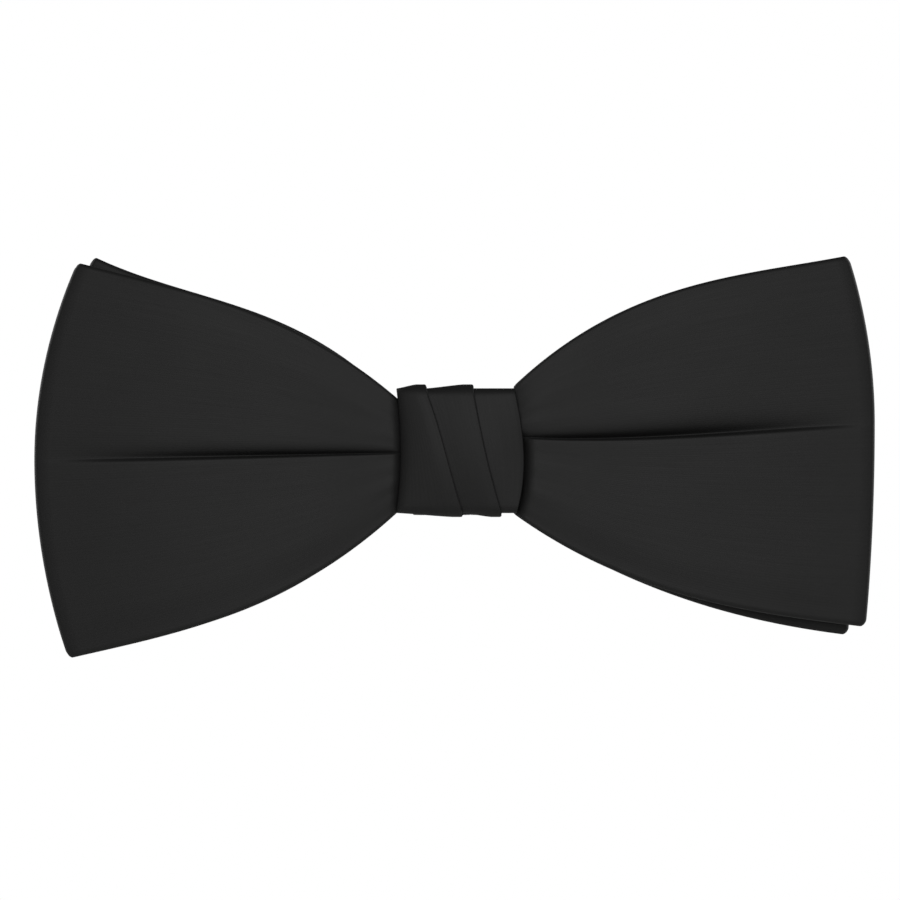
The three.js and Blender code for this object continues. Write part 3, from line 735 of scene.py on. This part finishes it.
def knot_band():
    """The band, and the width and length of the strip it is folded from."""
    loop = band_loop(BAND_BACK, WRAP_FRONT, BAND_HALF, KNOT_CORNER, 8, 26)
    rings = []
    for depth, z, nd, nz in loop:
        t = np.clip((KNOT_HALF - z) / (2 * KNOT_HALF), 0, 1)
        x, level = band_section(t).T
        deep = depth + level * nd
        high = z + level * nz
        curl = EDGE_CURL * np.exp((x[-1] - x) / EDGE_CURL) * smooth(deep / MID_DEPTH - 1)
        rings.append(np.stack([x, -(deep - curl + crown(x, high, deep)), high], 1))
    rings = np.array(rings)
    x, level = pleat_path(0.5)
    run = np.concatenate([[0], np.cumsum(np.hypot(np.diff(x), np.diff(level)))])
    across = np.concatenate([run, run[-1] + 0.1 * np.arange(1, 5), 2 * run[-1] + 0.5 - run[::-1]])
    across = np.concatenate([across, across[-1] + 0.1 * np.arange(1, 6)])
    middle = rings.mean(1)
    along = np.concatenate([[0], np.cumsum(np.linalg.norm(np.diff(middle, axis=0), axis=1))])
    return skin("knot_pleated_band", rings, along, across, loop=True), run[-1], along[-1]


band, band_cut, band_length = knot_band()
place_piece(band, "satin", "knot_wrap_satin")
print("band cut", round(band_cut, 1), "by", round(band_length, 1), "mm")

# %% [markdown]
# ### Inside the knot
# Under the band are a loop of canvas, which holds its width, and a thin felt pad, which gives the
# front of the knot its swell. Neither shows, but a band laid over nothing would sink between the tiers.

# %% Canvas loop and felt pad
CANVAS_HALF_WIDTH = 6.4
CANVAS = 0.4  # its thickness
CANVAS_BACK, CANVAS_FRONT = 1.4, 14.3  # depths of the loop's middle line
CANVAS_CORNER = 1.2
UNDER_BAND = 0.25  # from the band's inner face to the loop's middle line
PAD_UNDER = 0.3  # the pad stays this far under the band's crown


def knot_canvas():
    """The loop, and the length of the strip it is made from."""
    loop = band_loop(CANVAS_BACK, CANVAS_FRONT, BAND_HALF - UNDER_BAND, CANVAS_CORNER, 5, 12)
    x = np.linspace(-1, 1, 15) * CANVAS_HALF_WIDTH
    offset = np.concatenate([0 * x + CANVAS / 2, 0 * x - CANVAS / 2])
    xs = np.concatenate([x, x[::-1]])
    depth, z, nd, nz = (loop[:, i : i + 1] for i in range(4))
    rings = np.stack(np.broadcast_arrays(xs, -(depth + offset * nd), z + offset * nz), -1)
    steps = np.linalg.norm(loop[:, :2] - np.roll(loop[:, :2], 1, 0), axis=1)
    along = np.cumsum(steps) - steps[0]
    across = np.append(np.concatenate([x, 2 * x[-1] - x[::-1] + CANVAS]), 3 * x[-1] + 2 * CANVAS)
    return skin("knot_canvas_loop", rings, along, across, loop=True), steps.sum()


def knot_felt():
    """A flat-backed pad with rounded corners, filling the space under the band's crown."""
    low, high = box_mm("knot_pad")
    rows = np.linspace(-1, 1, 25)
    a = np.linspace(0, 2 * np.pi, 49)[:-1]
    rings = []
    for s in np.sin(rows * np.pi / 2) * 0.999:
        size = (1 - s**4) ** 0.25
        x = (high[0] - low[0]) / 2 * size * np.sign(np.cos(a)) * np.abs(np.cos(a)) ** 0.5
        z = 0 * x + s * (high[2] - low[2]) / 2
        front = crown(x, z, WRAP_FRONT) - PAD_UNDER
        y = -(WRAP_FRONT + front / 2 * (1 + np.sign(np.sin(a)) * np.abs(np.sin(a)) ** 0.6 * size))
        rings.append(np.stack([x, y, z], 1))
    return skin("knot_pad_felt", np.array(rings), rows * 6, np.linspace(0, 24, 49))


canvas, canvas_length = knot_canvas()
place_piece(canvas, "interlining", "knot_interlining")
print("canvas cut", 2 * CANVAS_HALF_WIDTH, "by", round(canvas_length, 1), "mm")
felt = knot_felt()
place_piece(felt, "interlining", "knot_pad")


# %% [markdown]
# ## Thread and wire
# Sewing thread is three plies with a visible twist. Its section is a trefoil that turns as it goes
# along, which a plain round tube with bump can't show in outline. Spring wire is the same run with a
# round section.

# %% A cord along a run of points
PLIES = 3
GROOVE = 0.14  # half the depth of the grooves between the plies, as a share of the radius


def fine_path(points, step):
    """Points along a smooth curve through the given ones, about step apart."""
    p = np.concatenate([[2 * points[0] - points[1]], points, [2 * points[-1] - points[-2]]])
    out = []
    for a, b, c, d in zip(p[:-3], p[1:-2], p[2:-1], p[3:]):
        t = np.linspace(0, 1, max(2, round(np.linalg.norm(c - b) / step)), endpoint=False)[:, None]
        straight = (c - a) / 2
        bend = (2 * a - 5 * b + 4 * c - d) / 2
        turn = (3 * b - a - 3 * c + d) / 2
        out.append(b + straight * t + bend * t**2 + turn * t**3)
    return np.concatenate(out + [points[-1:]])


def twisted_cord(name, points, radius, flat, plies=0, twist=1.0, sides=12):
    """A closed cord. flat is a direction it never runs along, and twist is the length of one turn."""
    along = np.gradient(points, axis=0)
    along /= np.linalg.norm(along, axis=1, keepdims=True)
    across = np.cross(flat, along)
    across /= np.linalg.norm(across, axis=1, keepdims=True)
    up = np.cross(along, across)
    run = np.concatenate([[0], np.cumsum(np.linalg.norm(np.diff(points, axis=0), axis=1))])
    print(name, round(run[-1], 1), "mm long")
    a = np.linspace(0, 2 * np.pi, sides + 1)[:-1]
    spin = 2 * np.pi * run[:, None] / twist
    r = radius * (1 + (GROOVE * np.cos(plies * (a - spin)) - GROOVE if plies else 0 * spin + 0 * a))
    rings = points[:, None] + r[..., None] * (
        np.cos(a)[None, :, None] * across[:, None] + np.sin(a)[None, :, None] * up[:, None]
    )
    return skin(name, rings, run, np.linspace(0, 2 * np.pi * radius, sides + 1))


# %% [markdown]
# ### Where it is sewn
# Two and a half turns of thread hold each tier's waist, and slanting stitches close the band under the
# knot. A few points say where the thread goes. Straight pieces between them would look like wire, so a
# smooth curve is run through the points.

# %% Tacking threads round the two waists, and the stitches that close the knot
THREAD = 0.25  # radius
LOOP_HALF = KNOT_HALF - 2.15  # half the height that a thread holds the waist to
LOOP_CORNER = 0.55
TURNS = 2.5
TURN_STEP = 1.5  # from one turn to the next
WAISTS = {"rear": (3.15, 7.95), "front": (8.75, 13.55)}  # depths of each loop's back and front
for name, (back, front) in WAISTS.items():
    loop = band_loop(back, front, LOOP_HALF, LOOP_CORNER, 2, 2)
    step = np.arange(round(len(loop) * TURNS))
    x = TURN_STEP * (step / len(loop) - TURNS / 2)
    winding = np.stack([x, -loop[step % len(loop), 0], loop[step % len(loop), 1]], 1)
    winding = fine_path(winding, 0.2)
    wound = twisted_cord(name + "_waist_thread", winding, THREAD, (1, 0, 0), PLIES, 1.1)
    place_piece(wound, "thread", name + "_bow_tacking_thread")

low, high = box_mm("knot_closing_stitch")
STITCH_THREAD = 0.2  # radius
STITCH_POINTS = 10
ON_BAND = BAND_HALF + BAND + STITCH_THREAD + 0.02  # the stitches lie on the band's lower face
zigzag = np.linspace(low[0] + 0.3, high[0] - 0.3, STITCH_POINTS)
ends = np.where(np.arange(STITCH_POINTS) % 2, low[1] + 0.25, high[1] - 0.25)
stitch_line = fine_path(np.stack([zigzag, ends, 0 * zigzag - ON_BAND], 1), 0.1)
stitches = twisted_cord("knot_closing_stitches", stitch_line, STITCH_THREAD, (0, 0, 1), PLIES, 1.0)
place_piece(stitches, "thread", "knot_closing_stitch")


# %% [markdown]
# ## The clip
# The base, the two levers and their pins keep their working shapes. A stamped part has edges broken
# by tumbling. They could be rounded by hand, but a small bevel on every sharp edge does it at once, and
# edges that catch the light make metal look like metal.

# %% Finish the metal parts
def break_edges(node, slot, width):
    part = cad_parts[node]
    part.data.materials.clear()
    part.data.materials.append(FINISH[slot])
    bevel = part.modifiers.new("broken_edges", "BEVEL")
    bevel.width = width * MM
    bevel.segments = 2
    bevel.angle_limit = math.radians(35)
    print(node, slot, "edges broken by", width, "mm")


for node in ("clip_base", "right_clip_lever", "left_clip_lever"):
    break_edges(node, "nickel_plate", 0.1)
for node in ("right_hinge_pin", "left_hinge_pin"):
    break_edges(node, "spring_steel", 0.08)

# %% [markdown]
# ### Springs and tacks
# A torsion spring is a coil round the hinge pin with two straight legs. One leg stays with the base and
# the other is pushed by the lever, so the coil winds up as the lever turns. Here each spring is coiled
# once, where the frame has it, and rides on no body. The tacks are short bars of thread that sew the
# base to the bow.

# %% Coil the springs and tack the clip to the bow
WIRE = 0.25  # radius
COIL_TURNS = 4.5
COIL_RADIUS = 1.15  # from the hinge to the middle of the wire
LEG = 7.5  # how far a spring's legs reach from the hinge
TACK_THREAD = 0.2  # radius
BEND = 0.3  # a tack turns this sharply behind the base
for side, word in ((1, "right"), (-1, "left")):
    pin_low, pin_high = box_mm(word + "_hinge_pin")
    spring_low, spring_high = box_mm(word + "_torsion_spring")
    hinge_x, hinge_y = (pin_low + pin_high)[:2] / 2
    height = spring_high[2] - spring_low[2] - 2 * WIRE
    a = np.linspace(0, 1, 130)
    angle = -np.pi / 2 + 2 * np.pi * COIL_TURNS * a
    coil = np.stack(
        [
            hinge_x + side * COIL_RADIUS * np.cos(angle),
            hinge_y + COIL_RADIUS * np.sin(angle),
            height * (a - 0.5),
        ],
        1,
    )
    tip = hinge_x - side * LEG
    base_leg = np.linspace([tip, spring_low[1] + WIRE, -height / 2], coil[0], 16)[:-1]
    tail_leg = np.linspace(coil[-1], [tip, spring_high[1] - WIRE, height / 2], 16)[1:]
    wire = np.concatenate([base_leg, coil, tail_leg])
    spring = twisted_cord(word + "_coiled_spring", wire, WIRE, (0, 0, 1))
    spring.data.materials.append(FINISH["spring_steel"])
    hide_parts(word + "_torsion_spring")
    inner = height / 2 - 0.3  # the coil winds up between these two heights
    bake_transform(spring)
    low, high = box_mm(word + "_clip_tack")
    x = (low[0] + high[0]) / 2
    rear, front = high[1] - THREAD, low[1]
    half = (high[2] - low[2]) / 2 - THREAD
    lower = [(front, -half), (rear - BEND, -half), (rear, BEND - half)]
    tack = np.array([(x, y, z) for y, z in lower] + [(x, y, -z) for y, z in lower[::-1]])
    tack = fine_path(tack, 0.1)
    sewn = twisted_cord(word + "_tack_thread", tack, TACK_THREAD, (1, 0, 0), PLIES, 0.9)
    place_piece(sewn, "thread", word + "_clip_tack")


# %% [markdown]
# ## The table
# A plain pale disc below the bow, so that views from above have something light behind the black
# cloth. It is part of the stage, not of the object.

# %% Table
TABLE_DROP = -0.12  # metres, below the middle of the bow
TABLE_RADIUS = 0.6


def pale_table():
    disc = bmesh.new()
    bmesh.ops.create_circle(disc, cap_ends=True, segments=96, radius=TABLE_RADIUS)
    mesh = bpy.data.meshes.new("table")
    disc.to_mesh(mesh)
    disc.free()
    table = bpy.data.objects.new("table", mesh)
    scene.collection.objects.link(table)
    table.location.z = TABLE_DROP
    material, shader, _ = new_finish("white_laminate")
    shader.inputs["Base Color"].default_value = linear("#f4f4f2")
    shader.inputs["Roughness"].default_value = 0.8
    mesh.materials.append(material)


pale_table()
print("table", TABLE_RADIUS, "m in radius")
